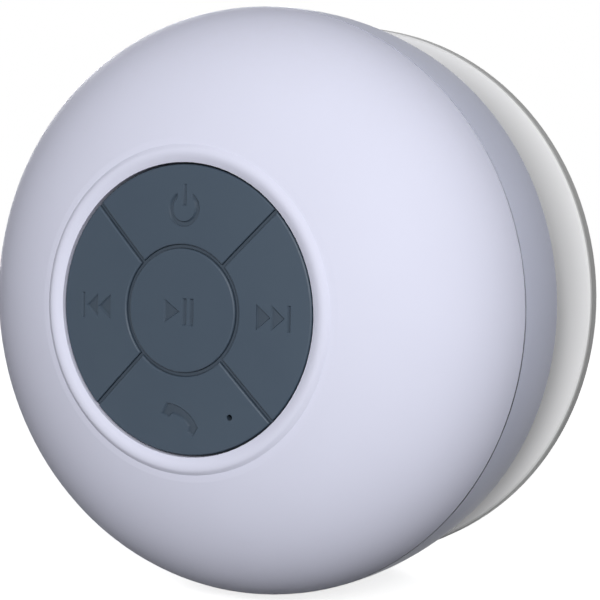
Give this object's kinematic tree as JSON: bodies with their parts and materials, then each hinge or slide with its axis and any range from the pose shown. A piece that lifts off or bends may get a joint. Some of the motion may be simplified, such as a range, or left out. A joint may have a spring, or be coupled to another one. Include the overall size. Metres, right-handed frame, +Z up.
{
  "type": "shower speaker",
  "caption": "Round waterproof wireless speaker with a front keypad, a rear suction cup it screws onto, and a flap over its charging port.",
  "frame": {"origin": "centre of the suction cup's sealing face, in the plane of the wall", "axes": "+Z up, towards the power key; the keypad faces -Y and +Y points into the wall"},
  "size_m": [0.086, 0.0496, 0.086],
  "materials": {
    "basket_steel": "pressed zinc-plated steel",
    "board_laminate": "green solder mask",
    "brass": "turned brass",
    "can_steel": "tinned steel",
    "cell_foil": "laminated foil pouch",
    "coil_copper": "enamelled copper wire on a thin former",
    "cone_paper": "coated black pulp",
    "cover_plastic": "smooth satin grey-blue",
    "cup_vinyl": "white soft vinyl, satin",
    "ferrite": "sintered ferrite",
    "flap_silicone": "grey-blue silicone",
    "foam": "dark closed-cell foam",
    "inner_plastic": "black moulded plastic",
    "key_silicone": "dark slate silicone, matt",
    "lead_sleeve": "red vinyl sleeve",
    "mesh_cloth": "black waterproof woven mesh",
    "pin_plastic": "natural acetal",
    "plate_steel": "machined steel",
    "plug_plastic": "cream nylon",
    "screw_steel": "zinc-plated steel",
    "seal_rubber": "black moulded rubber",
    "shell_paint": "soft-touch matt paint, pale lilac white",
    "spider_cloth": "resin-treated yellow cloth",
    "stud_plastic": "white glass-filled nylon"
  },
  "bodies": {
    "wall_cup": {"suction_cup": "cup_vinyl", "cup_stud": "stud_plastic"},
    "washer": {"neck_washer": "seal_rubber"},
    "flap": {"port_flap": "flap_silicone"},
    "moving_cone": {"cone": "cone_paper", "dust_cap": "cone_paper", "voice_coil": "coil_copper", "surround": "seal_rubber", "spider": "spider_cloth"},
    "power_button": {"power_key": "key_silicone", "power_switch_pin": "pin_plastic"},
    "previous_button": {"previous_key": "key_silicone", "previous_switch_pin": "pin_plastic"},
    "play_button": {"play_key": "key_silicone", "play_switch_pin": "pin_plastic"},
    "next_button": {"next_key": "key_silicone", "next_switch_pin": "pin_plastic"},
    "phone_button": {"phone_key": "key_silicone", "phone_switch_pin": "pin_plastic"},
    "housing": {"acoustic_mesh": "mesh_cloth", "battery": "cell_foil", "battery_lead": "lead_sleeve", "battery_pad": "foam", "bluetooth_module": "can_steel", "board_components": "inner_plastic", "board_screws": "screw_steel", "charge_board": "board_laminate", "charge_lead": "lead_sleeve", "charge_screws": "screw_steel", "control_board": "board_laminate", "flap_anchor": "flap_silicone", "front_shell": "shell_paint", "housing_screws": "screw_steel", "keypad_frame": "inner_plastic", "keypad_web": "key_silicone", "magnet": "ferrite", "mic_boot": "seal_rubber", "microphone": "can_steel", "rear_cover": "cover_plastic", "shell_seal": "seal_rubber", "speaker_basket": "basket_steel", "speaker_gasket": "foam", "speaker_lead": "lead_sleeve", "speaker_screws": "screw_steel", "switch_bodies": "inner_plastic", "threaded_bush": "brass", "top_plate": "plate_steel", "usb_socket": "can_steel", "wire_connectors": "plug_plastic", "yoke": "plate_steel"}
  },
  "joints": [
    {"name": "thread_advance", "type": "slide", "parent": "wall_cup", "child": "washer", "axis": [0, -1, 0], "range_m": [0, 0.0061]},
    {"name": "body_unscrew", "type": "hinge", "parent": "washer", "child": "housing", "pos_m": [0, 0, 0], "axis": [0, -1, 0], "range_deg": [0, 720]},
    {"name": "power_press", "type": "slide", "parent": "housing", "child": "power_button", "axis": [0, 1, 0], "range_m": [0, 0.0005], "stiffness_N_per_m": 1500},
    {"name": "previous_press", "type": "slide", "parent": "housing", "child": "previous_button", "axis": [0, 1, 0], "range_m": [0, 0.0005], "stiffness_N_per_m": 1500},
    {"name": "play_press", "type": "slide", "parent": "housing", "child": "play_button", "axis": [0, 1, 0], "range_m": [0, 0.0005], "stiffness_N_per_m": 1500},
    {"name": "next_press", "type": "slide", "parent": "housing", "child": "next_button", "axis": [0, 1, 0], "range_m": [0, 0.0005], "stiffness_N_per_m": 1500},
    {"name": "phone_press", "type": "slide", "parent": "housing", "child": "phone_button", "axis": [0, 1, 0], "range_m": [0, 0.0005], "stiffness_N_per_m": 1500},
    {"name": "flap_hinge", "type": "hinge", "parent": "housing", "child": "flap", "pos_m": [-0.0426, -0.0246, 0.0063], "axis": [0, 1, 0], "range_deg": [0, 110]},
    {"name": "cone_travel", "type": "slide", "parent": "housing", "child": "moving_cone", "axis": [0, 1, 0], "range_m": [-0.001, 0.001], "stiffness_N_per_m": 900, "deforming": ["surround", "spider"]}
  ],
  "couplings": [
    {"joint": "thread_advance", "follows": "body_unscrew", "m_per_rad": 0.00047746}
  ]
}
